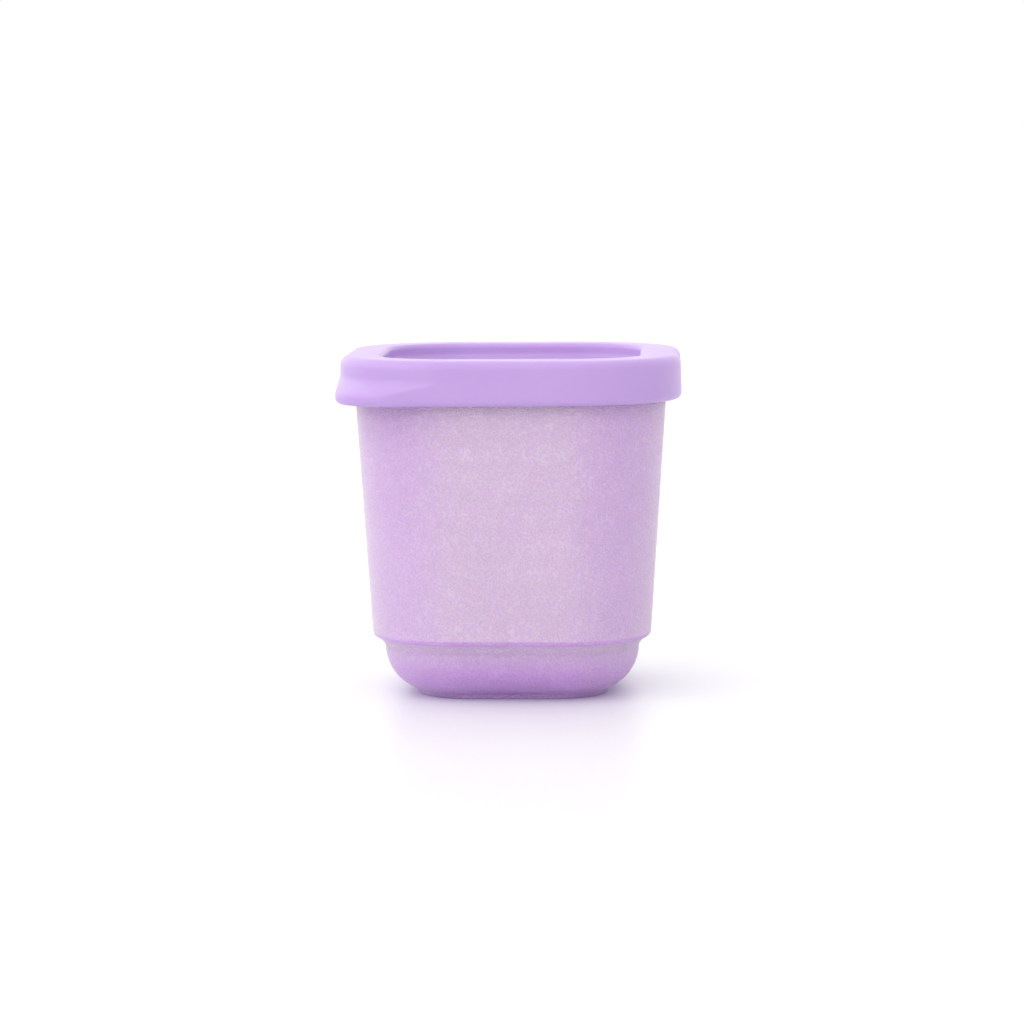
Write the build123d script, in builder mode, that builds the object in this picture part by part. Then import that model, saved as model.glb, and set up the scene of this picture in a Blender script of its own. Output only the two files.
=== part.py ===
from build123d import *
from math import atan2, pi, tan
import os

# A small squarish storage cup with a push-fit lid, in millimetres.
# The origin is the centre of the plane that the foot stands on, and +Z is up.
# The lid's pull tab is on its -X -Y corner. Every outline is a rounded square,
# given by its half width ("half") and its corner radius ("corner").

# Cup, outside
WALL = 1.4                 # wall and floor thickness
FOOT_HALF = 18.6           # outer half width of the foot ring
FOOT_CORNER = 11.0
FOOT_WIDTH = 1.3           # radial width of the ring
FOOT_HEIGHT = 0.6          # the underside stands this far off the table
FOOT_ROOT = 1.9            # the ring reaches up to this height, inside the floor
FOOT_ROUND = 0.25          # round of the ring's two lower edges
HEEL_RADIUS = 9.0          # round between the underside and the lower wall
LOWER_HALF = 24.7          # half width of the lower wall, carried down to the underside
STEP_LOW_HALF = 25.4       # half widths below and above the stacking step
STEP_HIGH_HALF = 27.0
STEP_LOW_Z = 10.8
STEP_HIGH_Z = 11.6
STEP_LOW_ROUND = 0.4       # rounds of the step's two corners, outside
STEP_HIGH_ROUND = 1.2
MOUTH_HALF = 30.4          # outer half width of the wall, carried up to the rim
CUP_HEIGHT = 64.5
CORNER_SHARE = 0.64        # corner radius of the cup's outlines as a share of their half width

# Cup, rim flange
FLANGE_HALF = 31.3
FLANGE_CORNER = 20.3
FLANGE_THICKNESS = 1.6
FLANGE_TOP_ROUND = 0.7
FLANGE_UNDER_ROUND = 0.5
MOUTH_ROUND = 0.5          # round of the mouth's inner edge

# Gate mark in the middle of the underside
GATE_DIMPLE_RADIUS = 3.0
GATE_DIMPLE_DEPTH = 0.4
GATE_NUB_RADIUS = 0.8
GATE_NUB_HEIGHT = 0.25

# Lid
LID_TOP = 66.0
LID_FOOT = 57.5            # lower edge of the skirt
LID_HALF = 33.0            # outer half width at the skirt's lower edge
LID_LEAN = 0.25            # the skirt leans in by this much at the top
LID_CORNER = 22.0
LID_TOP_ROUND = 1.8
LID_FOOT_ROUND = 1.2
LID_WALL = 1.3
LID_ROOF = 1.3             # thickness of the roof over the cup's rim
RECESS_HALF = 24.9         # half width of the sunk panel
RECESS_CORNER = 13.4
RECESS_DEPTH = 3.0
RECESS_CREST_ROUND = 1.0
RECESS_FOOT_ROUND = 1.2
PANEL = 1.1                # thickness of the sunk panel
PLUG_WALL = 1.6            # wall between the sunk panel and the rim channel
HOLLOW_ROUND = 0.5         # rounds in the rim channel's roof and on the plug

# Lid, beads that hold and seal it
SNAP_BEAD_REACH = 0.25     # how far the bead stands in from the skirt
SNAP_BEAD_HEIGHT = 1.0
SNAP_BEAD_GAP = 0.4        # below the underside of the cup's flange
SEAL_BEAD_REACH = 2.1      # how far the bead stands out from the plug
SEAL_BEAD_HEIGHT = 1.5
SEAL_BEAD_LIFT = 0.3       # above the plug's lower edge
BEAD_ROOT = 0.4            # how deep a bead is rooted in its wall

# Lid, pull tab
TAB_START = 8.0            # how far the tab's ends are from the lid's middle planes
TAB_DROP = 0.15            # how far the lip hangs below the skirt
TAB_INSET = 0.15           # how deep the tab's ends are rooted in the skirt
TAB_WALL = 1.2             # thickness of the lip, which is hollow below
TAB_NECK = 59.5            # the flare is above this height, and the lip below it is upright
TAB_PROFILE = [            # height, and the x and y of the tab's outermost point there
    (63.2, 26.1),
    (62.2, 26.4),
    (61.0, 27.7),
    (60.0, 29.1),
    (59.3, 29.6),
    (58.3, 29.6),
    (LID_FOOT - TAB_DROP, 28.9),
]

UNDER_FLANGE = CUP_HEIGHT - FLANGE_THICKNESS
PANEL_TOP = LID_TOP - RECESS_DEPTH
PANEL_UNDER = PANEL_TOP - PANEL
ROOF_UNDER = LID_TOP - LID_ROOF
SKIRT_HALF = LID_HALF - LID_WALL       # inner face of the skirt
SKIRT_CORNER = LID_CORNER - LID_WALL
PLUG_HALF = RECESS_HALF + PLUG_WALL    # outer face of the plug wall
PLUG_CORNER = RECESS_CORNER + PLUG_WALL

OVERRUN = 2.0              # cutting shapes run this far past the surface that they open
LEVEL_SLACK = 0.01         # how closely an edge has to match the height asked for
WIDTH_SLACK = 0.3          # and the half width asked for
BEAD_SLACK = 0.05          # the same on a bead, where edges lie close together


def outline(height, half, corner):
    """A rounded square sketch at that height."""
    with BuildSketch(Plane.XY.offset(height)) as sketch:
        RectangleRounded(2 * half, 2 * half, corner)
    return sketch.sketch


def block(half, corner, low, high, lean=0.0):
    """A rounded square block between two heights, narrower at the top by lean on each side."""
    with BuildPart() as shape:
        add(outline(low, half, corner))
        add(outline(high, half - lean, corner - lean))
        loft()
    return shape.part


def spread(edge):
    """The largest x or y that an edge gets to."""
    box = edge.bounding_box()
    return max(abs(box.min.X), box.max.X, abs(box.min.Y), box.max.Y)


def rim_edges(builder, height, half, slack=WIDTH_SLACK):
    """The closed loop of flat edges at that height and half width."""
    level = builder.edges().filter_by_position(Axis.Z, height - LEVEL_SLACK, height + LEVEL_SLACK)
    return level.filter_by(lambda e: abs(spread(e) - half) < slack)


def tub(inset):
    """The cup's plain outer shape, or its hollow when inset by the wall."""
    step_slope = atan2(STEP_HIGH_Z - STEP_LOW_Z, STEP_HIGH_HALF - STEP_LOW_HALF)
    lift = inset * tan((pi / 2 - step_slope) / 2)      # keeps the wall even through the step
    stations = [
        (FOOT_HEIGHT + inset, LOWER_HALF),
        (STEP_LOW_Z + lift, STEP_LOW_HALF),
        (STEP_HIGH_Z + lift, STEP_HIGH_HALF),
        (CUP_HEIGHT, MOUTH_HALF),
    ]
    with BuildPart() as shape:
        for height, half in stations:
            add(outline(height, half - inset, CORNER_SHARE * half - inset))
        loft(ruled=True)
        fillet(rim_edges(shape, STEP_LOW_Z + lift, STEP_LOW_HALF - inset), STEP_LOW_ROUND + inset / 2)
        fillet(rim_edges(shape, STEP_HIGH_Z + lift, STEP_HIGH_HALF - inset), STEP_HIGH_ROUND - inset / 2)
        fillet(rim_edges(shape, FOOT_HEIGHT + inset, LOWER_HALF - inset), HEEL_RADIUS - inset)
    return shape.part


def foot_ring():
    """The ring that the cup stands on."""
    inner_half = FOOT_HALF - FOOT_WIDTH
    with BuildPart() as shape:
        add(block(FOOT_HALF, FOOT_CORNER, 0, FOOT_ROOT))
        add(block(inner_half, FOOT_CORNER - FOOT_WIDTH, 0, FOOT_HEIGHT), mode=Mode.SUBTRACT)
        fillet(rim_edges(shape, 0, FOOT_HALF), FOOT_ROUND)
        fillet(rim_edges(shape, 0, inner_half), FOOT_ROUND)
    return shape.part


def bead(half, corner, reach, low, high, outward):
    """A rounded ridge that runs round a wall and is rooted in it."""
    outer = half + (reach if outward else BEAD_ROOT)
    inner = half - (BEAD_ROOT if outward else reach)
    crest = outer if outward else inner
    with BuildPart() as shape:
        add(block(outer, corner + outer - half, low, high))
        add(block(inner, corner + inner - half, low, high), mode=Mode.SUBTRACT)
        rounding = min(0.45 * (high - low), 0.9 * reach)
        fillet(rim_edges(shape, low, crest, BEAD_SLACK), rounding)
        fillet(rim_edges(shape, high, crest, BEAD_SLACK), rounding)
    return shape.part


def pull_tab(profile, side):
    """The corner of the skirt that flares out into a finger lip, as a solid wedge."""
    start = (-side, -TAB_START)
    end = (-TAB_START, -side)
    with BuildPart() as shape:
        for height, reach in profile:
            with BuildSketch(Plane.XY.offset(height)):
                with BuildLine():
                    Spline([start, (-reach, -reach), end], tangents=[(0, -1), (1, -1), (1, 0)])
                    Polyline(end, (-TAB_START, -TAB_START), start)
                make_face()
        loft()
    return shape.part


def tab_hollow():
    """The finger space under the pull tab."""
    widest = max(reach for height, reach in TAB_PROFILE)
    flare = [(height - TAB_WALL, reach - TAB_WALL) for height, reach in TAB_PROFILE if height > TAB_NECK]
    return pull_tab(flare + [(LID_FOOT - OVERRUN, widest - TAB_WALL)], SKIRT_HALF)


def lid_hollow():
    """The space under the lid: the rim channel and all below the sunk panel."""
    with BuildPart() as shape:
        add(block(SKIRT_HALF, SKIRT_CORNER, LID_FOOT - OVERRUN, ROOF_UNDER))
        fillet(rim_edges(shape, ROOF_UNDER, SKIRT_HALF), HOLLOW_ROUND)
        add(block(PLUG_HALF, PLUG_CORNER, PANEL_UNDER, ROOF_UNDER), mode=Mode.SUBTRACT)
        fillet(rim_edges(shape, PANEL_UNDER, PLUG_HALF), HOLLOW_ROUND)
    return shape.part


def lid_recess():
    """The sunk middle of the lid's top, rounded at the bottom."""
    with BuildPart() as shape:
        add(block(RECESS_HALF, RECESS_CORNER, PANEL_TOP, LID_TOP + OVERRUN))
        fillet(rim_edges(shape, PANEL_TOP, RECESS_HALF), RECESS_FOOT_ROUND)
    return shape.part


os.makedirs("parts", exist_ok=True)

# Cup body: one moulding with a foot ring, a stacking step and a rim flange
with BuildPart() as cup_body:
    add(tub(0))
    add(block(FLANGE_HALF, FLANGE_CORNER, UNDER_FLANGE, CUP_HEIGHT))
    fillet(rim_edges(cup_body, CUP_HEIGHT, FLANGE_HALF), FLANGE_TOP_ROUND)
    fillet(rim_edges(cup_body, UNDER_FLANGE, FLANGE_HALF), FLANGE_UNDER_ROUND)
    add(foot_ring())
    with BuildSketch(Plane.XY.offset(FOOT_HEIGHT)):
        Circle(GATE_DIMPLE_RADIUS)
    extrude(amount=GATE_DIMPLE_DEPTH, mode=Mode.SUBTRACT)
    with BuildSketch(Plane.XY.offset(FOOT_HEIGHT + GATE_DIMPLE_DEPTH - GATE_NUB_HEIGHT)):
        Circle(GATE_NUB_RADIUS)
    extrude(amount=GATE_NUB_HEIGHT)
    add(tub(WALL), mode=Mode.SUBTRACT)
    fillet(rim_edges(cup_body, CUP_HEIGHT, MOUTH_HALF - WALL), MOUTH_ROUND)
cup_body.part.label = "cup_body"
export_step(cup_body.part, "parts/cup_body.step")

# Lid: one soft moulding with a skirt, a rim channel, a sunk panel and a pull tab
with BuildPart() as lid:
    add(block(LID_HALF, LID_CORNER, LID_FOOT, LID_TOP, LID_LEAN))
    fillet(rim_edges(lid, LID_TOP, LID_HALF - LID_LEAN), LID_TOP_ROUND)
    fillet(rim_edges(lid, LID_FOOT, LID_HALF), LID_FOOT_ROUND)
    add(pull_tab(TAB_PROFILE, LID_HALF - TAB_INSET))
    add(lid_recess(), mode=Mode.SUBTRACT)
    fillet(rim_edges(lid, LID_TOP, RECESS_HALF), RECESS_CREST_ROUND)
    add(lid_hollow(), mode=Mode.SUBTRACT)
    add(tab_hollow(), mode=Mode.SUBTRACT)
    snap_high = UNDER_FLANGE - SNAP_BEAD_GAP
    add(bead(SKIRT_HALF, SKIRT_CORNER, SNAP_BEAD_REACH, snap_high - SNAP_BEAD_HEIGHT, snap_high, False))
    seal_low = PANEL_UNDER + SEAL_BEAD_LIFT
    add(bead(PLUG_HALF, PLUG_CORNER, SEAL_BEAD_REACH, seal_low, seal_low + SEAL_BEAD_HEIGHT, True))
lid.part.label = "lid"
export_step(lid.part, "parts/lid.step")
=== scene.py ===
import logging
import math
from collections.abc import Callable
from dataclasses import dataclass, field, replace
from enum import Enum

import bmesh
import bpy
from mathutils import Matrix, Vector


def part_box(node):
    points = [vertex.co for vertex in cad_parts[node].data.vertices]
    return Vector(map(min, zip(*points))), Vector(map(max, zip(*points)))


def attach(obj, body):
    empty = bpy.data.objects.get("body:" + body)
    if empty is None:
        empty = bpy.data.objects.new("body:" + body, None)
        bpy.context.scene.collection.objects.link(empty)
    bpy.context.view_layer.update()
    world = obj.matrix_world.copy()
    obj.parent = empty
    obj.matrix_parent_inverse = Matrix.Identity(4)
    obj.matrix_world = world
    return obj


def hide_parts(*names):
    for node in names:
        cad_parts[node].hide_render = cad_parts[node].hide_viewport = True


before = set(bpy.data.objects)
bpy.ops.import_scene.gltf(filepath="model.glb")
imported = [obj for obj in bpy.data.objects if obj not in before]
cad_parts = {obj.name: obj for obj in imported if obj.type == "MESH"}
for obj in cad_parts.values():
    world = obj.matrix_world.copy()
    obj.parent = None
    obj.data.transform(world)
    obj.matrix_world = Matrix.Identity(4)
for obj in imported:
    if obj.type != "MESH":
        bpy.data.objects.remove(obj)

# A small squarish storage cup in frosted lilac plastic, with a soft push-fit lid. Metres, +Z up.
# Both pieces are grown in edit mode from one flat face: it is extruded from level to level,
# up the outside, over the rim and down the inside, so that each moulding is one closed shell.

MM = 0.001
CORNERS = ((1, 1), (-1, 1), (-1, -1), (1, -1))
TAB_SIDE = (-1, -1)                # the corner that carries the pull tab
SAME_POINT = 0.002 * MM            # points closer than this are one
NOISE_LOW, NOISE_HIGH = 0.3, 0.7   # what a noise mostly keeps between
DRIFT_SIZE = 9 * MM                # width of the blobs in the pigment
POLISH_SIZE = 5 * MM               # width of the blobs in the polish
SPECKLE_SIZE = 0.3 * MM
LINE_GAP = 1 * MM                  # room left between a straight stretch and the round beside it
FLANGE_THICKNESS = 1.6 * MM        # of the cup's rim flange, which the lid's snap bead goes under
PLAIN_WHITE = (1, 1, 1, 1)
CLOSEST_SEEN = 10 * MM             # nothing nearer to the camera is drawn
Colour = tuple[float, float, float]
log = logging.getLogger("storage_cup")


class Body(Enum):
    """The two bodies that the pieces ride on."""

    CUP = "cup"
    LID = "lid"


class Slot(Enum):
    """The record's material slots."""

    FROSTED_CUP = "frosted_cup"
    SOFT_LID = "soft_lid"


@dataclass(frozen=True)
class Outline:
    """A rounded square, seen from above.

    Attributes:
        half: half of its width.
        corner: radius of its corners.
        tab_corner: radius of the corner with the pull tab, or None where there is no tab.
        tab_drop: how far that corner hangs below the rest.
    """

    half: float
    corner: float
    tab_corner: float | None = None
    tab_drop: float = 0.0

    def grown(self, by: float) -> "Outline":
        """The parallel outline that stands further out by that much.

        Args:
            by: how far out, or in where it is negative.

        Returns:
            The new outline.
        """
        tab = None if self.tab_corner is None else self.tab_corner + by
        return Outline(self.half + by, self.corner + by, tab, self.tab_drop)

    def radius(self, side: tuple[int, int]) -> float:
        """The radius of one corner.

        Args:
            side: the signs of the corner's x and y.

        Returns:
            The radius there.
        """
        if side == TAB_SIDE and self.tab_corner is not None:
            return self.tab_corner
        return self.corner


@dataclass(frozen=True)
class Level:
    """An outline at its height.

    Attributes:
        height: the height.
        outline: the outline there.
    """

    height: float
    outline: Outline


def arc(centre: Outline, height: float, radius: float, start: float, end: float, steps: int) -> list[Level]:
    """Levels along a round edge.

    Args:
        centre: the outline that the round's centre runs along.
        height: height of that centre.
        radius: radius of the round.
        start: angle in degrees where it starts, 0 pointing outwards and 90 up.
        end: angle where it ends.
        steps: number of facets.

    Returns:
        The levels from start to end, both included.
    """
    levels = []
    for step in range(steps + 1):
        angle = math.radians(start + (end - start) * step / steps)
        outline = centre.grown(radius * math.cos(angle))
        levels.append(Level(height + radius * math.sin(angle), outline))
    return levels


class Grower:
    """Models a closed shell by carrying one flat face from level to level.

    Attributes:
        piece: the object that is being modelled.
        level: where the moving face is now.
    """

    def __init__(self, name: str, start: Level, corner_steps: int) -> None:
        """Adds a square, rounds its corners and leaves it selected, in edit mode.

        Args:
            name: the piece's name.
            start: the first level, which stays as a face of the shell.
            corner_steps: number of facets round each corner.
        """
        bpy.ops.object.select_all(action="DESELECT")
        bpy.ops.mesh.primitive_plane_add(size=2 * start.outline.half, location=(0, 0, start.height))
        self.piece = bpy.context.object
        self.piece.name = name
        self.piece.data.name = name
        self.level = start
        bpy.ops.object.transform_apply(location=True, rotation=True, scale=True)
        bpy.ops.object.mode_set(mode="EDIT")
        bpy.ops.mesh.select_mode(type="VERT")
        bpy.ops.mesh.select_all(action="SELECT")
        bpy.ops.mesh.bevel(offset=start.outline.corner, segments=corner_steps, affect="VERTICES")
        bpy.ops.mesh.select_all(action="SELECT")

    def _moving(self) -> list[int]:
        """The vertices of the moving face."""
        mesh = bmesh.from_edit_mesh(self.piece.data)
        return [v.index for v in mesh.verts if v.select]

    def _select(self, wanted: list[int]) -> None:
        """Selects some vertices and what lies between them, and nothing else.

        Args:
            wanted: the vertices' indices.
        """
        mesh = bmesh.from_edit_mesh(self.piece.data)
        for face in mesh.faces:
            face.select_set(False)
        for edge in mesh.edges:
            edge.select_set(False)
        mesh.verts.ensure_lookup_table()
        for vertex in mesh.verts:
            vertex.select_set(False)
        for index in wanted:
            mesh.verts[index].select_set(True)
        mesh.select_flush(True)
        bmesh.update_edit_mesh(self.piece.data)

    def _at(self, vertices: list[int], side: tuple[int, int]) -> list[int]:
        """Picks out the vertices that belong to one corner.

        Args:
            vertices: the vertices to look through.
            side: the signs of the corner's x and y.

        Returns:
            Those on that side.
        """
        mesh = bmesh.from_edit_mesh(self.piece.data)
        mesh.verts.ensure_lookup_table()
        places = {index: mesh.verts[index].co for index in vertices}
        return [i for i, place in places.items() if place.x * side[0] > 0 and place.y * side[1] > 0]

    def grow(self, target: Level) -> None:
        """Extrudes the moving face to the next level and gives it that level's outline.

        Args:
            target: the level to go to.
        """
        rise = (0, 0, target.height - self.level.height)
        bpy.ops.mesh.extrude_region_move(TRANSFORM_OT_translate={"value": rise})
        moving = self._moving()
        for side in CORNERS:
            self._reshape(self._at(moving, side), side, target)
        self._select(moving)
        self.level = target

    def _reshape(self, vertices: list[int], side: tuple[int, int], target: Level) -> None:
        """Gives one corner of the moving face its new radius and place.

        Args:
            vertices: the corner's vertices.
            side: which corner it is.
            target: the level that the face has been moved to.
        """
        before, after = self.level.outline, target.outline
        old, new = before.radius(side), after.radius(side)
        middle = before.half - old
        shift = after.half - new - middle
        drop = before.tab_drop - after.tab_drop if side == TAB_SIDE else 0.0
        pivot = (side[0] * middle, side[1] * middle, target.height)
        self._select(vertices)
        bpy.ops.transform.resize(value=(new / old, new / old, 1), center_override=pivot)
        bpy.ops.transform.translate(value=(side[0] * shift, side[1] * shift, drop))

    def follow(self, levels: list[Level]) -> None:
        """Grows through several levels in turn."""
        for level in levels:
            self.grow(level)

    def close(self, smooth_angle: float = 40.0) -> bpy.types.Object:
        """Leaves edit mode with the faces pointing outwards.

        Args:
            smooth_angle: edges sharper than this many degrees stay crisp.

        Returns:
            The finished piece.
        """
        bpy.ops.mesh.select_all(action="SELECT")
        bpy.ops.mesh.remove_doubles(threshold=SAME_POINT)
        bpy.ops.mesh.normals_make_consistent(inside=False)
        bpy.ops.object.mode_set(mode="OBJECT")
        bpy.ops.object.shade_smooth_by_angle(angle=math.radians(smooth_angle))
        return self.piece


def assign_finish(piece: bpy.types.Object, material: bpy.types.Material,
                  wanted: Callable[[bmesh.types.BMFace], bool]) -> None:
    """Gives some of a piece's faces a second material, over the one that it has all over.

    Args:
        piece: the piece.
        material: the material, which is added in a new slot.
        wanted: a test that says whether a face gets it.
    """
    bpy.ops.object.select_all(action="DESELECT")
    piece.select_set(True)
    bpy.context.view_layer.objects.active = piece
    bpy.ops.object.material_slot_add()
    piece.active_material = material
    bpy.ops.object.mode_set(mode="EDIT")
    bpy.ops.mesh.select_mode(type="FACE")
    bpy.ops.mesh.select_all(action="DESELECT")
    mesh = bmesh.from_edit_mesh(piece.data)
    for face in mesh.faces:
        face.select_set(wanted(face))
    bmesh.update_edit_mesh(piece.data)
    bpy.ops.object.material_slot_assign()
    bpy.ops.object.mode_set(mode="OBJECT")


@dataclass(frozen=True)
class Plastic:
    """A moulded plastic with a fine mottle in its colour and a grain in its surface.

    Attributes:
        name: the material's name.
        colour: base colour, linear.
        deep: the colour that the mottle drifts towards.
        roughness: mean roughness.
        roughness_swing: how far the roughness varies either way.
        grain_size: width of one grain, or 0 for none.
        grain_depth: height of the grain.
        valley_shade: how much painted shade darkens the valleys between the grains.
        speckle_depth: height of the fine speckle between the grains.
        transmission: share of the light that goes through.
        subsurface: share of the light that scatters inside.
        scatter: how far the light scatters, in each colour.
        forward: how much of the scattered light keeps its direction.
        index: index of refraction.
    """

    name: str
    colour: Colour
    deep: Colour
    roughness: float
    roughness_swing: float
    grain_size: float
    grain_depth: float
    speckle_depth: float
    valley_shade: float = 0.0
    transmission: float = 0.0
    subsurface: float = 0.0
    scatter: Colour = (1.0 * MM, 1.0 * MM, 1.0 * MM)
    forward: float = 0.0
    index: float = 1.49

    def build(self) -> bpy.types.Material:
        """Makes the material from its nodes.

        Returns:
            The material, ready to be given to a piece.
        """
        material = bpy.data.materials.new(self.name)
        material.use_nodes = True
        tree = material.node_tree
        shader = tree.nodes["Principled BSDF"]
        shader.inputs["IOR"].default_value = self.index
        shader.inputs["Transmission Weight"].default_value = self.transmission
        shader.inputs["Subsurface Weight"].default_value = self.subsurface
        shader.inputs["Subsurface Radius"].default_value = [s / max(self.scatter) for s in self.scatter]
        shader.inputs["Subsurface Scale"].default_value = max(self.scatter)
        shader.inputs["Subsurface Anisotropy"].default_value = self.forward
        place = tree.nodes.new("ShaderNodeTexCoord").outputs["Object"]
        colour = self._painted_valley_shade(tree, place, self._colour(tree, place))
        tree.links.new(colour, shader.inputs["Base Color"])
        self._gloss(tree, place, shader)
        self._grain(tree, place, shader)
        return material

    def _noise(self, tree: bpy.types.NodeTree, place: bpy.types.NodeSocket, size: float,
               detail: float) -> bpy.types.NodeSocket:
        """A noise whose blobs are about that wide.

        Args:
            tree: the material's nodes.
            place: the coordinates that it reads.
            size: width of a blob.
            detail: number of finer layers.

        Returns:
            The noise's value, from 0 to 1.
        """
        noise = tree.nodes.new("ShaderNodeTexNoise")
        noise.inputs["Scale"].default_value = 1 / size
        noise.inputs["Detail"].default_value = detail
        tree.links.new(place, noise.inputs["Vector"])
        return noise.outputs["Fac"]

    def _colour(self, tree: bpy.types.NodeTree, place: bpy.types.NodeSocket) -> bpy.types.NodeSocket:
        """The colour, which drifts a little over the surface, as pigment does in a moulding.

        Args:
            tree: the material's nodes.
            place: the coordinates that the drift reads.

        Returns:
            The colour.
        """
        ramp = tree.nodes.new("ShaderNodeValToRGB")
        ramp.color_ramp.elements[0].position = NOISE_LOW
        ramp.color_ramp.elements[0].color = (*self.deep, 1)
        ramp.color_ramp.elements[1].position = NOISE_HIGH
        ramp.color_ramp.elements[1].color = (*self.colour, 1)
        tree.links.new(self._noise(tree, place, DRIFT_SIZE, 4), ramp.inputs["Fac"])
        return ramp.outputs["Color"]

    def _painted_valley_shade(self, tree: bpy.types.NodeTree, place: bpy.types.NodeSocket,
                     colour: bpy.types.NodeSocket) -> bpy.types.NodeSocket:
        """The colour with painted shade darkening the valleys of the grain.

        Args:
            tree: the material's nodes.
            place: the coordinates that the grain reads.
            colour: the colour without the grain.

        Returns:
            The shaded colour, or the same one where there is no grain.
        """
        if not self.valley_shade:
            return colour
        # Painted shade: the valleys between the grains are darkened in the colour.
        valley = tree.nodes.new("ShaderNodeMapRange")
        valley.inputs["To Min"].default_value = self.valley_shade
        valley.inputs["To Max"].default_value = 0.0
        tree.links.new(self._pebbles(tree, place), valley.inputs["Value"])
        shade = tree.nodes.new("ShaderNodeMix")
        shade.data_type = "RGBA"
        shade.blend_type = "MULTIPLY"
        shade.inputs["B"].default_value = (*self.deep, 1)
        tree.links.new(valley.outputs["Result"], shade.inputs["Factor"])
        tree.links.new(colour, shade.inputs["A"])
        return shade.outputs["Result"]

    def _gloss(self, tree: bpy.types.NodeTree, place: bpy.types.NodeSocket,
               shader: bpy.types.Node) -> None:
        """Varies the roughness, from handling and from the mould's polish.

        Args:
            tree: the material's nodes.
            place: the coordinates that the roughness reads.
            shader: the shader that gets it.
        """
        spread = tree.nodes.new("ShaderNodeMapRange")
        spread.inputs["From Min"].default_value = NOISE_LOW
        spread.inputs["From Max"].default_value = NOISE_HIGH
        spread.inputs["To Min"].default_value = self.roughness - self.roughness_swing
        spread.inputs["To Max"].default_value = self.roughness + self.roughness_swing
        tree.links.new(self._noise(tree, place, POLISH_SIZE, 3), spread.inputs["Value"])
        tree.links.new(spread.outputs["Result"], shader.inputs["Roughness"])

    def _grain(self, tree: bpy.types.NodeTree, place: bpy.types.NodeSocket,
               shader: bpy.types.Node) -> None:
        """Raises the pebbled grain and the fine speckle as bumps.

        Args:
            tree: the material's nodes.
            place: the coordinates that they read.
            shader: the shader that gets them.
        """
        heights = [(self._noise(tree, place, SPECKLE_SIZE, 2), self.speckle_depth)]
        if self.grain_depth:
            heights.append((self._pebbles(tree, place), self.grain_depth))
        normal = None
        for height, depth in heights:
            bump = tree.nodes.new("ShaderNodeBump")
            bump.inputs["Strength"].default_value = 1.0
            bump.inputs["Distance"].default_value = depth
            tree.links.new(height, bump.inputs["Height"])
            if normal is not None:
                tree.links.new(normal, bump.inputs["Normal"])
            normal = bump.outputs["Normal"]
        tree.links.new(normal, shader.inputs["Normal"])

    def _pebbles(self, tree: bpy.types.NodeTree, place: bpy.types.NodeSocket) -> bpy.types.NodeSocket:
        """The height of the pebbled grain: round-topped worms with narrow valleys between them.

        Args:
            tree: the material's nodes.
            place: the coordinates that it reads.

        Returns:
            The height, from 0 in the valleys to 1 on the crests.
        """
        valley, crest = 0.38, 0.62
        noise = self._noise(tree, place, self.grain_size, 1)
        shape = tree.nodes.new("ShaderNodeMapRange")
        shape.interpolation_type = "SMOOTHSTEP"
        shape.inputs["From Min"].default_value = valley
        shape.inputs["From Max"].default_value = crest
        tree.links.new(noise, shape.inputs["Value"])
        return shape.outputs["Result"]


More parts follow.
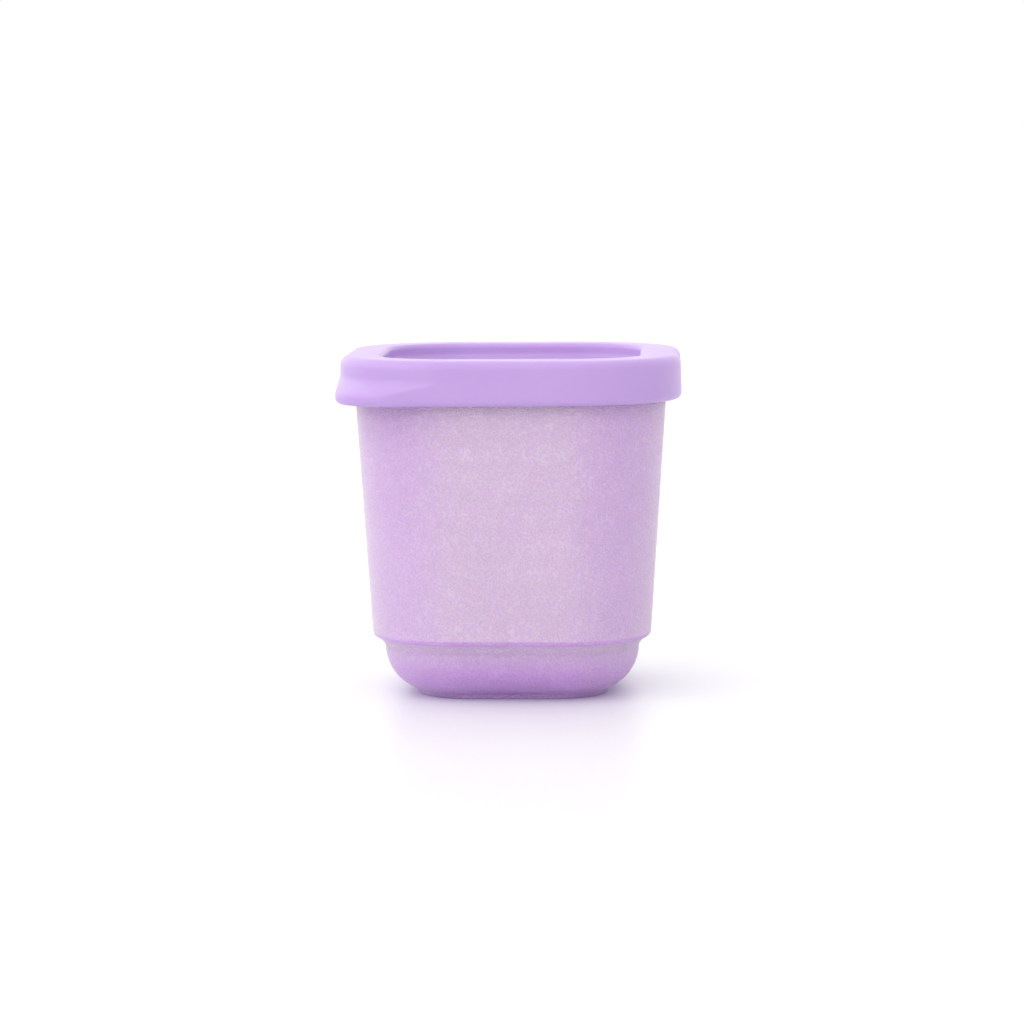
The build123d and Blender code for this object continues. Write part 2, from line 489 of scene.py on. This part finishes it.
@dataclass(frozen=True)
class FrostedPlastic(Plastic):
    """A translucent plastic with painted shade that deepens its colour at the corners, the heel and the
    stacking step.

    Attributes:
        painted_shade: the colour of the painted shade at the corners, the heel and the stacking step.
        corner_share: how much painted shade the corners take.
        corner_shade_start: where the painted shade at the corners starts, as a share of the half width's
            square.
        corner_shade_end: where that painted shade is strongest.
        heel_shade_share: how much painted shade the heel takes.
        half: half width of the cup, which says where its corners are.
        heel_height: height where the painted shade towards the heel starts.
        foot_height: height where that painted shade is strongest.
        step_shade_share: how much painted shade the stacking step takes.
        step_height: height of the step.
        step_band: how far above and below that the painted shade fades out.
    """

    # The colour of the painted shade.
    painted_shade: Colour = (0.67, 0.40, 0.98)
    corner_share: float = 0.5
    corner_shade_start: float = 0.30
    corner_shade_end: float = 0.78
    heel_shade_share: float = 0.9
    half: float = 29.0 * MM
    heel_height: float = 13.0 * MM
    foot_height: float = 3.0 * MM
    step_shade_share: float = 0.75
    step_height: float = 11.75 * MM
    step_band: float = 0.75 * MM

    def _colour(self, tree: bpy.types.NodeTree, place: bpy.types.NodeSocket) -> bpy.types.NodeSocket:
        """The drifting colour, with painted shade mixed in by place.

        Args:
            tree: the material's nodes.
            place: the coordinates that say where the painted shade goes.

        Returns:
            The mixed colour.
        """
        unshaded = super()._colour(tree, place)
        axes = tree.nodes.new("ShaderNodeSeparateXYZ")
        tree.links.new(place, axes.inputs["Vector"])
        across = self._size(tree, self._math(tree, "MULTIPLY", axes.outputs["X"], axes.outputs["Y"]))
        # Painted shade at the corners, where the cup's sides turn away and look darker.
        start, end = self.corner_shade_start * self.half**2, self.corner_shade_end * self.half**2
        height = axes.outputs["Z"]
        corner = self._ramp(tree, across, start, end, self.corner_share)
        # Painted shade towards the heel, darker near the floor.
        heel = self._ramp(tree, height, self.heel_height, self.foot_height, self.heel_shade_share)
        # Painted shade in a band at the stacking step.
        off_step = self._size(tree, self._math(tree, "SUBTRACT", height, self.step_height))
        step = self._ramp(tree, off_step, self.step_band, self.step_band / 2, self.step_shade_share)
        painted_shade_fac = self._math(tree, "MAXIMUM", self._math(tree, "MAXIMUM", corner, heel), step)
        # The painted shade colour is mixed over the drifting colour.
        mix = tree.nodes.new("ShaderNodeMix")
        mix.data_type = "RGBA"
        mix.inputs["B"].default_value = (*self.painted_shade, 1)
        tree.links.new(painted_shade_fac, mix.inputs["Factor"])
        tree.links.new(unshaded, mix.inputs["A"])
        return mix.outputs["Result"]

    def _math(self, tree: bpy.types.NodeTree, operation: str, first: bpy.types.NodeSocket,
              second: bpy.types.NodeSocket | float) -> bpy.types.NodeSocket:
        """Works out one sum.

        Args:
            tree: the material's nodes.
            operation: the sum, by its name in Blender.
            first: the first value.
            second: the second value, from a socket or as a number.

        Returns:
            The answer.
        """
        node = tree.nodes.new("ShaderNodeMath")
        node.operation = operation
        tree.links.new(first, node.inputs[0])
        if isinstance(second, float):
            node.inputs[1].default_value = second
        else:
            tree.links.new(second, node.inputs[1])
        return node.outputs["Value"]

    def _size(self, tree: bpy.types.NodeTree, value: bpy.types.NodeSocket) -> bpy.types.NodeSocket:
        """The value without its sign."""
        return self._math(tree, "ABSOLUTE", value, 0.0)

    def _ramp(self, tree: bpy.types.NodeTree, value: bpy.types.NodeSocket, start: float, end: float,
              top: float) -> bpy.types.NodeSocket:
        """A smooth rise from 0 to top, as a value goes from start to end.

        Args:
            tree: the material's nodes.
            value: the value.
            start: where the rise starts.
            end: where it ends.
            top: how high it gets.

        Returns:
            The height of the rise.
        """
        rise = tree.nodes.new("ShaderNodeMapRange")
        rise.interpolation_type = "SMOOTHSTEP"
        rise.inputs["From Min"].default_value = start
        rise.inputs["From Max"].default_value = end
        rise.inputs["To Max"].default_value = top
        tree.links.new(value, rise.inputs["Value"])
        return rise.outputs["Result"]


OUTSIDE_PLASTIC = FrostedPlastic(
    name="frosted_lilac_grained",
    colour=(0.81, 0.655, 0.995),
    deep=(0.79, 0.635, 0.985),
    roughness=0.35,
    roughness_swing=0.04,
    grain_size=0.36 * MM,
    grain_depth=0.60 * MM,
    speckle_depth=0.03 * MM,
    # Painted shade in the grain's valleys.
    valley_shade=0.38,
    transmission=0.06,
    subsurface=0.85,
    scatter=(3.0 * MM, 2.4 * MM, 3.2 * MM),
    forward=0.8,
)
# The inside keeps the painted shade at the heel and the step, with less painted shade at the corners.
INSIDE_PLASTIC = replace(
    OUTSIDE_PLASTIC,
    name="frosted_lilac_polished",
    roughness=0.34,
    roughness_swing=0.03,
    grain_size=0.0,
    grain_depth=0.0,
    valley_shade=0.0,
    speckle_depth=0.004 * MM,
    subsurface=0.9,
    corner_share=0.35,
)
LID_PLASTIC = Plastic(
    name="satin_lilac",
    colour=(0.475, 0.31, 0.64),
    deep=(0.46, 0.30, 0.63),
    roughness=0.33,
    roughness_swing=0.03,
    grain_size=0.0,
    grain_depth=0.0,
    speckle_depth=0.003 * MM,
    subsurface=0.35,
    scatter=(1.2 * MM, 0.9 * MM, 1.4 * MM),
)


@dataclass
class CupShell:
    """The cup: foot ring, rounded heel, stacking step, tapered wall and rim flange in one shell.

    Attributes:
        wall: wall and floor thickness.
        corner_share: corner radius as a share of the half width.
        foot_half: outer half width of the foot ring.
        foot_corner: its corner radius.
        foot_width: its radial width.
        foot_height: how far the underside stands off the table.
        foot_round: round of the ring's two edges.
        heel_radius: round between the underside and the lower wall.
        lower_half: half width of the lower wall, carried down to the underside.
        step_low: height and half width below the stacking step.
        step_high: height and half width above it.
        step_low_round: round of the step's lower corner.
        step_high_round: round of its upper corner.
        mouth_half: half width of the wall, carried up to the rim.
        flange_corner: corner radius of the rim flange.
        flange_thickness: thickness of the flange.
        flange_low_round: round of the flange's lower edge.
        flange_high_round: round of its upper edge.
        mouth_round: round of the mouth's edge.
        gate_dimple: radius of the dimple round the gate mark.
        gate_depth: depth of the dimple.
        gate_bevel: bevel of the dimple's inner edge.
        gate_nub: radius of the gate mark.
        gate_rise: how far the gate mark stands out of the dimple.
        corner_steps: number of facets round each corner.
        piece: the cup's object, once it is built.
        top: height of the rim, from the frame.
        flange_half: half width over the flange, from the frame.
    """

    wall: float = 1.4 * MM
    corner_share: float = 0.64
    foot_half: float = 18.6 * MM
    foot_corner: float = 11.0 * MM
    foot_width: float = 1.3 * MM
    foot_height: float = 0.6 * MM
    foot_round: float = 0.25 * MM
    heel_radius: float = 9.0 * MM
    lower_half: float = 24.7 * MM
    step_low: tuple[float, float] = (10.8 * MM, 25.4 * MM)
    step_high: tuple[float, float] = (11.6 * MM, 27.0 * MM)
    step_low_round: float = 0.4 * MM
    step_high_round: float = 1.2 * MM
    mouth_half: float = 30.4 * MM
    flange_corner: float = 20.3 * MM
    flange_thickness: float = FLANGE_THICKNESS
    flange_low_round: float = 0.5 * MM
    flange_high_round: float = 0.7 * MM
    mouth_round: float = 0.5 * MM
    gate_dimple: float = 3.0 * MM
    gate_depth: float = 0.4 * MM
    gate_bevel: float = 0.15 * MM
    gate_nub: float = 0.8 * MM
    gate_rise: float = 0.25 * MM
    corner_steps: int = 24
    piece: bpy.types.Object | None = None
    top: float = field(init=False)
    flange_half: float = field(init=False)

    def __post_init__(self) -> None:
        """Takes the cup's height and widest half width from the frame."""
        low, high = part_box("cup_body")
        self.top = high.z
        self.flange_half = (high.x - low.x) / 2

    def _plain(self, half: float) -> Outline:
        """The cup's own outline at that half width."""
        return Outline(half, self.corner_share * half)

    def _gate_mark(self) -> list[Level]:
        """The nub and dimple in the middle of the underside.

        Returns:
            The levels from the nub's face outwards.
        """
        nearly_round = 0.97
        deep = self.foot_height + self.gate_depth
        levels = []
        for height, half in (
            (deep - self.gate_rise, self.gate_nub),
            (deep, self.gate_nub),
            (deep, self.gate_dimple - self.gate_bevel),
            (deep - self.gate_bevel, self.gate_dimple),
            (self.foot_height, self.gate_dimple),
        ):
            levels.append(Level(height, Outline(half, nearly_round * half)))
        return levels

    def _foot(self) -> list[Level]:
        """The foot ring.

        Returns:
            The levels from its inner side to its outer side.
        """
        ring = Outline(self.foot_half, self.foot_corner)
        low = self.foot_round
        levels = arc(ring.grown(low - self.foot_width), low, low, 180, 270, 3)
        levels += arc(ring.grown(-low), low, low, 270, 360, 3)
        return levels

    def _heel_height(self, half: float) -> float:
        """The height of the heel's round at that half width."""
        reach = half - (self.lower_half - self.heel_radius)
        return self.foot_height + self.heel_radius - math.sqrt(self.heel_radius**2 - reach**2)

    def _base(self) -> list[Level]:
        """The underside, the foot ring and the heel.

        Returns:
            The levels from the underside up to the lower wall.
        """
        centre = self._plain(self.lower_half).grown(-self.heel_radius)
        centre_height = self.foot_height + self.heel_radius
        inner = self.foot_half - self.foot_width
        levels = [Level(self.foot_height, centre)]
        levels.append(Level(self._heel_height(inner), centre.grown(inner - centre.half)))
        levels += self._foot()
        levels.append(Level(self._heel_height(self.foot_half), centre.grown(self.foot_half - centre.half)))
        start = math.degrees(math.acos((self.foot_half - centre.half) / self.heel_radius))
        levels += arc(centre, centre_height, self.heel_radius, 360 - start, 360, 12)[1:]
        return levels

    def _wall(self, inset: float) -> list[Level]:
        """The wall from the lower wall over the step to the rim.

        Args:
            inset: 0 outside, or the wall's thickness for the inside.

        Returns:
            The levels from the step upwards.
        """
        (low_z, low_half), (high_z, high_half) = self.step_low, self.step_high
        slope = math.atan2(high_z - low_z, high_half - low_half)
        lift = inset * math.tan((math.pi / 2 - slope) / 2)
        low = Vector((low_half, low_z + lift))
        high = Vector((high_half, high_z + lift))
        bottom = Vector((self.lower_half, self.foot_height))
        rim = Vector((self.mouth_half, self.top))
        path = rounded_corner(bottom, low, high, self.step_low_round + inset / 2, 4)
        path += rounded_corner(low, high, rim, self.step_high_round - inset / 2, 6)
        return [Level(z, self._plain(half).grown(-inset)) for half, z in path]

    def _wall_half(self, height: float) -> float:
        """The outer half width of the upper wall.

        Args:
            height: where on the wall.

        Returns:
            The half width there.
        """
        high_z, high_half = self.step_high
        share = (height - high_z) / (self.top - high_z)
        return high_half + share * (self.mouth_half - high_half)

    def _upper(self, low: float, high: float, inset: float, steps: int) -> list[Level]:
        """Evenly spaced levels on the upper wall.

        Args:
            low: the lowest height.
            high: the highest height.
            inset: 0 outside, or the wall's thickness for the inside.
            steps: number of stretches between them.

        Returns:
            The levels from low to high.
        """
        heights = [low + (high - low) * step / steps for step in range(steps + 1)]
        return [Level(z, self._plain(self._wall_half(z)).grown(-inset)) for z in heights]

    def _rim(self) -> list[Level]:
        """The rim flange.

        Returns:
            The levels from its underside over the top to the mouth's edge.
        """
        under = self.top - self.flange_thickness
        edge = Outline(self.flange_half, self.flange_corner)
        low, high, inner = self.flange_low_round, self.flange_high_round, self.mouth_round
        mouth = self._plain(self.mouth_half).grown(inner - self.wall)
        levels = [Level(under, self._plain(self._wall_half(under)))]
        levels += arc(edge.grown(-low), under + low, low, -90, 0, 4)
        levels += arc(edge.grown(-high), self.top - high, high, 0, 90, 5)
        levels += arc(mouth, self.top - inner, inner, 90, 180, 4)
        return levels

    def _inside(self) -> list[Level]:
        """The inner wall and floor.

        Returns:
            The levels from the mouth down.
        """
        step = self._wall(self.wall)
        levels = self._upper(step[-1].height + LINE_GAP, self.top - 2 * LINE_GAP, self.wall, 4)
        levels = levels[::-1] + step[::-1]
        centre = self._plain(self.lower_half).grown(-self.heel_radius)
        height = self.foot_height + self.heel_radius
        levels += arc(centre, height, self.heel_radius - self.wall, 360, 270, 12)
        return levels

    def build(self) -> None:
        """Models the shell, from the gate mark under the floor round to the floor inside."""
        gate = self._gate_mark()
        step = self._wall(0.0)
        under = self.top - self.flange_thickness
        grower = Grower("cup_shell", gate[0], self.corner_steps)
        grower.follow(gate[1:])
        grower.follow(self._base())
        grower.follow(step)
        grower.follow(self._upper(step[-1].height + LINE_GAP, under - LINE_GAP, 0.0, 6))
        grower.follow(self._rim())
        grower.follow(self._inside())
        self.piece = grower.close()

    def dress(self) -> None:
        """Grained plastic outside, polished plastic inside and on the rim."""
        self.piece.data.materials.append(OUTSIDE_PLASTIC.build())
        assign_finish(self.piece, INSIDE_PLASTIC.build(), self._is_polished)

    def _is_polished(self, face: bmesh.types.BMFace) -> bool:
        """Tells a polished face from a grained one.

        Args:
            face: the face.

        Returns:
            Whether it belongs to the rim flange or to the hollow of the cup.
        """
        level_enough = 0.9
        centre, normal = face.calc_center_median(), face.normal
        if centre.z > self.top - self.flange_thickness:
            return True
        if centre.z < self.foot_height + self.wall / 2:
            return False
        return centre.x * normal.x + centre.y * normal.y < 0 or normal.z > level_enough

    def place(self) -> None:
        """Hands the shell to the frame."""
        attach(self.piece, Body.CUP.value)
        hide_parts("cup_body")


def rounded_corner(before: Vector, corner: Vector, after: Vector, radius: float,
                   steps: int) -> list[Vector]:
    """Points round a corner of a section, each a half width and a height.

    Args:
        before: the section's point before the corner.
        corner: the sharp corner.
        after: the section's point after it.
        radius: radius of the round.
        steps: number of facets.

    Returns:
        The points from one end of the round to the other.
    """
    back, ahead = (before - corner).normalized(), (after - corner).normalized()
    half_angle = back.angle(ahead) / 2
    start = corner + back * radius / math.tan(half_angle)
    end = corner + ahead * radius / math.tan(half_angle)
    middle = corner + (back + ahead).normalized() * radius / math.sin(half_angle)
    sweep = (start - middle).angle_signed(end - middle)
    points = []
    for step in range(steps + 1):
        turn = Matrix.Rotation(-sweep * step / steps, 2)
        points.append(middle + turn @ (start - middle))
    return points


@dataclass
class PushFitLid:
    """The lid: sunk panel, rounded crest, leaning skirt with a pull tab, rim channel and beads.

    Attributes:
        wall: thickness of the skirt.
        roof: thickness over the cup's rim.
        lean: how far the skirt leans in at the top.
        corner: corner radius of the skirt.
        recess_half: half width of the sunk panel.
        recess_corner: its corner radius.
        recess_depth: how far it is sunk.
        panel: its thickness.
        plug_wall: wall between the sunk panel and the rim channel.
        recess_round: round where its wall meets its floor.
        crest_round: round of the crest's inner edge.
        shoulder_round: round of the crest's outer edge.
        skirt_foot: height of the skirt's lower edge.
        skirt_round: round of that edge.
        half: half width over the skirt.
        tab_corner: corner radius of the pull tab, where it flares most.
        tab_top: height where the tab starts to flare.
        tab_full: height where it flares most.
        tab_drop: how far the tab hangs below the skirt.
        channel_round: round of the rim channel's two upper corners.
        snap_gap: room between the snap bead and the flange above it.
        snap_height: height of the snap bead.
        snap_reach: how far it stands in from the skirt.
        seal_lift: how far the seal bead starts above the plug's foot.
        seal_height: height of the seal bead.
        seal_reach: how far it stands out from the plug.
        plug_round: round of the plug's foot.
        corner_steps: number of facets round each corner.
        piece: the lid's object, once it is built.
        top: height of the crest, from the frame.
    """

    wall: float = 1.3 * MM
    roof: float = 1.3 * MM
    lean: float = 0.25 * MM
    corner: float = 22.0 * MM
    recess_half: float = 24.9 * MM
    recess_corner: float = 13.4 * MM
    recess_depth: float = 3.0 * MM
    panel: float = 1.1 * MM
    plug_wall: float = 1.6 * MM
    recess_round: float = 1.2 * MM
    crest_round: float = 1.0 * MM
    shoulder_round: float = 1.8 * MM
    skirt_foot: float = 57.5 * MM
    skirt_round: float = 1.2 * MM
    half: float = 32.99 * MM
    tab_corner: float = 11.6 * MM
    tab_top: float = 62.3 * MM
    tab_full: float = 59.4 * MM
    tab_drop: float = 0.15 * MM
    channel_round: float = 0.5 * MM
    snap_gap: float = 0.4 * MM
    snap_height: float = 1.0 * MM
    snap_reach: float = 0.25 * MM
    seal_lift: float = 0.3 * MM
    seal_height: float = 1.5 * MM
    seal_reach: float = 2.1 * MM
    plug_round: float = 0.25 * MM
    corner_steps: int = 24
    piece: bpy.types.Object | None = None
    top: float = field(init=False)

    def __post_init__(self) -> None:
        """Takes the lid's height from the frame."""
        self.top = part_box("lid")[1].z

    def _recess(self) -> list[Level]:
        """The sunk panel's edge and wall.

        Returns:
            The levels from the panel up to the crest.
        """
        low, high = self.recess_round, self.crest_round
        floor = self.top - self.recess_depth
        wall = Outline(self.recess_half, self.recess_corner)
        levels = arc(wall.grown(-low), floor + low, low, 270, 360, 6)
        levels += arc(wall.grown(high), self.top - high, high, 180, 90, 6)
        return levels

    def _skirt(self, height: float, inset: float = 0.0) -> Outline:
        """The skirt's outline at a height, with the pull tab's flare.

        Args:
            height: the height.
            inset: 0 outside, or the skirt's thickness for the inside.

        Returns:
            The outline there.
        """
        share = (height - self.skirt_foot) / (self.top - self.skirt_foot)
        lean = self.lean * max(share, 0.0) if inset == 0.0 else 0.0
        flare = min(max((self.tab_top - height) / (self.tab_top - self.tab_full), 0.0), 1.0)
        flare = flare * flare * (3 - 2 * flare)
        tab = self.corner + (self.tab_corner - self.corner) * flare
        return Outline(self.half, self.corner, tab, self.tab_drop * flare).grown(-inset - lean)

    def _outside(self) -> list[Level]:
        """The land, the skirt and its lower edge.

        Returns:
            The levels from the crest down to the skirt's foot.
        """
        steps = 14
        shoulder = self.top - self.shoulder_round
        foot = self.skirt_foot + self.skirt_round
        crest = self._skirt(shoulder).grown(-self.shoulder_round)
        levels = arc(crest, shoulder, self.shoulder_round, 90, 0, 8)
        for step in range(1, steps):
            height = shoulder + (foot - shoulder) * step / steps
            levels.append(Level(height, self._skirt(height)))
        levels += arc(self._skirt(foot).grown(-self.skirt_round), foot, self.skirt_round, 0, -90, 6)
        return levels

    def _bead(self, wall: Outline, low: float, high: float, reach: float, upward: bool) -> list[Level]:
        """A rounded ridge across a wall.

        Args:
            wall: the wall's outline.
            low: height of the ridge's lower side.
            high: height of its upper side.
            reach: how far it stands out, or in where it is negative.
            upward: whether the section is going up.

        Returns:
            The levels across the ridge.
        """
        steps = 6
        levels = []
        for step in range(steps + 1):
            share = step / steps if upward else 1 - step / steps
            bulge = math.sqrt(max(math.sin(math.pi * share), 0.0))
            levels.append(Level(low + (high - low) * share, wall.grown(reach * bulge)))
        return levels

    def _channel(self) -> list[Level]:
        """The inside of the skirt with its snap bead, the roof, and the plug with its seal bead.

        Returns:
            The levels from the skirt's foot up to the roof and down to the plug's foot.
        """
        snap_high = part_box("cup_body")[1].z - FLANGE_THICKNESS - self.snap_gap
        flare_rises = (0.4 * MM, 1.1 * MM, 2.1 * MM, 3.1 * MM, 3.7 * MM)
        levels = []
        for rise in flare_rises:
            height = self.skirt_foot + rise
            levels.append(Level(height, self._skirt(height, self.wall)))
        straight = Outline(self.half, self.corner).grown(-self.wall)
        levels += self._bead(straight, snap_high - self.snap_height, snap_high, -self.snap_reach, True)
        bend = self.channel_round
        centre_height = self.top - self.roof - bend
        plug = Outline(self.recess_half, self.recess_corner).grown(self.plug_wall)
        levels += arc(straight.grown(-bend), centre_height, bend, 0, 90, 4)
        levels += arc(plug.grown(bend), centre_height, bend, 90, 180, 4)
        plug_foot = self.top - self.recess_depth - self.panel
        seal_low = plug_foot + self.seal_lift
        levels += self._bead(plug, seal_low, seal_low + self.seal_height, self.seal_reach, False)
        foot = self.plug_round
        levels += arc(plug.grown(-foot), plug_foot + foot, foot, 0, -90, 3)
        return levels

    def build(self) -> None:
        """Models the lid, from the sunk panel's top round to its underside."""
        recess = self._recess()
        grower = Grower("push_fit_lid", recess[0], self.corner_steps)
        grower.follow(recess[1:])
        grower.follow(self._outside())
        grower.follow(self._channel())
        self.piece = grower.close()

    def dress(self) -> None:
        """Satin plastic all over."""
        self.piece.data.materials.append(LID_PLASTIC.build())

    def place(self) -> None:
        """Hands the lid to the frame."""
        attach(self.piece, Body.LID.value)
        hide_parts("lid")


@dataclass
class Studio:
    """The floor, the light and the camera.

    Attributes:
        floor_size: width of the floor.
        floor_corner: radius of its corners.
        floor_steps: number of facets round each of them.
        floor_colour: the floor's colour, linear.
        floor_roughness: its roughness.
        sky_bright: strength of the light from the bright side of the room.
        sky_dark: strength from the side that is in shade.
        shade_side: where the shaded side is.
        key: strength of the key light.
        key_side: where it comes from.
        key_spread: the angle that it covers in the sky, in degrees.
        camera_distance: how far the camera stands from the cup's axis, along the floor.
        camera_height: height of the camera.
        camera_turn: angle round the cup, in radians.
        camera_tilt: how far it looks down.
        camera_roll: how far it leans.
        lens: focal length in millimetres.
        sensor: width of the sensor in millimetres.
        shift: sideways shift of the lens, as a share of the picture's width.
    """

    floor_size: float = 40.0
    floor_corner: float = 4.0
    floor_steps: int = 8
    floor_colour: Colour = (0.82, 0.82, 0.82)
    floor_roughness: float = 0.35
    sky_bright: float = 1.50
    sky_dark: float = 0.95
    shade_side: Vector = field(default_factory=lambda: Vector((0.9, -0.15, -0.35)))
    key: float = 0.55
    key_side: Vector = field(default_factory=lambda: Vector((-0.8, -0.8, 0.9)))
    key_spread: float = 70.0
    camera_distance: float = 0.700
    camera_height: float = 0.10875
    camera_turn: float = 0.043
    camera_tilt: float = 0.106
    camera_roll: float = -0.005
    lens: float = 125.9
    sensor: float = 36.0
    shift: float = -0.0016

    def build_floor(self) -> None:
        """A wide pale board with rounded corners."""
        bpy.ops.object.select_all(action="DESELECT")
        bpy.ops.mesh.primitive_plane_add(size=self.floor_size, location=(0, 0, 0))
        floor = bpy.context.object
        floor.name = "floor"
        bpy.ops.object.mode_set(mode="EDIT")
        bpy.ops.mesh.select_all(action="SELECT")
        bpy.ops.mesh.bevel(offset=self.floor_corner, segments=self.floor_steps, affect="VERTICES")
        bpy.ops.object.mode_set(mode="OBJECT")
        floor.data.materials.append(self._floor_material())

    def _floor_material(self) -> bpy.types.Material:
        """A pale, slightly glossy board.

        Returns:
            The material.
        """
        material = bpy.data.materials.new("pale_board")
        material.use_nodes = True
        shader = material.node_tree.nodes["Principled BSDF"]
        shader.inputs["Base Color"].default_value = (*self.floor_colour, 1)
        shader.inputs["Roughness"].default_value = self.floor_roughness
        return material

    def build_light(self) -> None:
        """Soft light from all round, over a plain white backdrop, and a key light."""
        world = bpy.data.worlds.new("studio_sky")
        world.use_nodes = True
        tree = world.node_tree
        light = tree.nodes["Background"]
        light.inputs["Color"].default_value = PLAIN_WHITE
        tree.links.new(self._sky_strength(tree), light.inputs["Strength"])
        backdrop = tree.nodes.new("ShaderNodeBackground")
        backdrop.inputs["Color"].default_value = PLAIN_WHITE
        rays = tree.nodes.new("ShaderNodeLightPath")
        choice = tree.nodes.new("ShaderNodeMixShader")
        tree.links.new(rays.outputs["Is Camera Ray"], choice.inputs["Fac"])
        tree.links.new(light.outputs["Background"], choice.inputs[1])
        tree.links.new(backdrop.outputs["Background"], choice.inputs[2])
        tree.links.new(choice.outputs["Shader"], tree.nodes["World Output"].inputs["Surface"])
        bpy.context.scene.world = world
        self._build_key()

    def _sky_strength(self, tree: bpy.types.NodeTree) -> bpy.types.NodeSocket:
        """How strong the light is in each direction, falling off towards the shaded side.

        Args:
            tree: the world's nodes.

        Returns:
            The strength.
        """
        direction = tree.nodes.new("ShaderNodeTexCoord").outputs["Generated"]
        facing = tree.nodes.new("ShaderNodeVectorMath")
        facing.operation = "DOT_PRODUCT"
        facing.inputs[1].default_value = self.shade_side.normalized()
        fall = tree.nodes.new("ShaderNodeMapRange")
        fall.inputs["From Min"].default_value = -1.0
        fall.inputs["To Min"].default_value = self.sky_bright
        fall.inputs["To Max"].default_value = self.sky_dark
        tree.links.new(direction, facing.inputs[0])
        tree.links.new(facing.outputs["Value"], fall.inputs["Value"])
        return fall.outputs["Result"]

    def _build_key(self) -> None:
        """A broad, distant light from the front left."""
        turn = self.key_side.to_track_quat("Z", "Y").to_euler()
        bpy.ops.object.light_add(type="SUN", location=self.key_side, rotation=turn)
        light = bpy.context.object
        light.name = "key_light"
        light.data.energy = self.key
        light.data.angle = math.radians(self.key_spread)

    def build_camera(self) -> None:
        """A long lens, a little above the lid."""
        turn = Matrix.Rotation(self.camera_turn, 4, "Z")
        look = Matrix.Rotation(math.pi / 2 - self.camera_tilt, 4, "X")
        roll = Matrix.Rotation(self.camera_roll, 4, "Z")
        place = turn @ Vector((0, -self.camera_distance, self.camera_height))
        bpy.ops.object.camera_add(location=place, rotation=(turn @ look @ roll).to_euler())
        camera = bpy.context.object
        camera.name = "camera"
        camera.data.lens = self.lens
        camera.data.sensor_width = self.sensor
        camera.data.shift_x = self.shift
        camera.data.clip_start = CLOSEST_SEEN
        bpy.context.scene.camera = camera
        bpy.context.scene.view_settings.view_transform = "Standard"


def main() -> None:
    """Builds the studio and the two pieces, and logs their vertex and face counts."""
    logging.basicConfig(level=logging.INFO, format="%(name)s: %(message)s")
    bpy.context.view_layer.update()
    studio = Studio()
    studio.build_floor()
    studio.build_light()
    studio.build_camera()
    for part in (CupShell(), PushFitLid()):
        part.build()
        part.dress()
        part.place()
        mesh = part.piece.data
        log.info("%s: %d vertices, %d faces", part.piece.name, len(mesh.vertices), len(mesh.polygons))


if __name__ == "__main__":
    main()
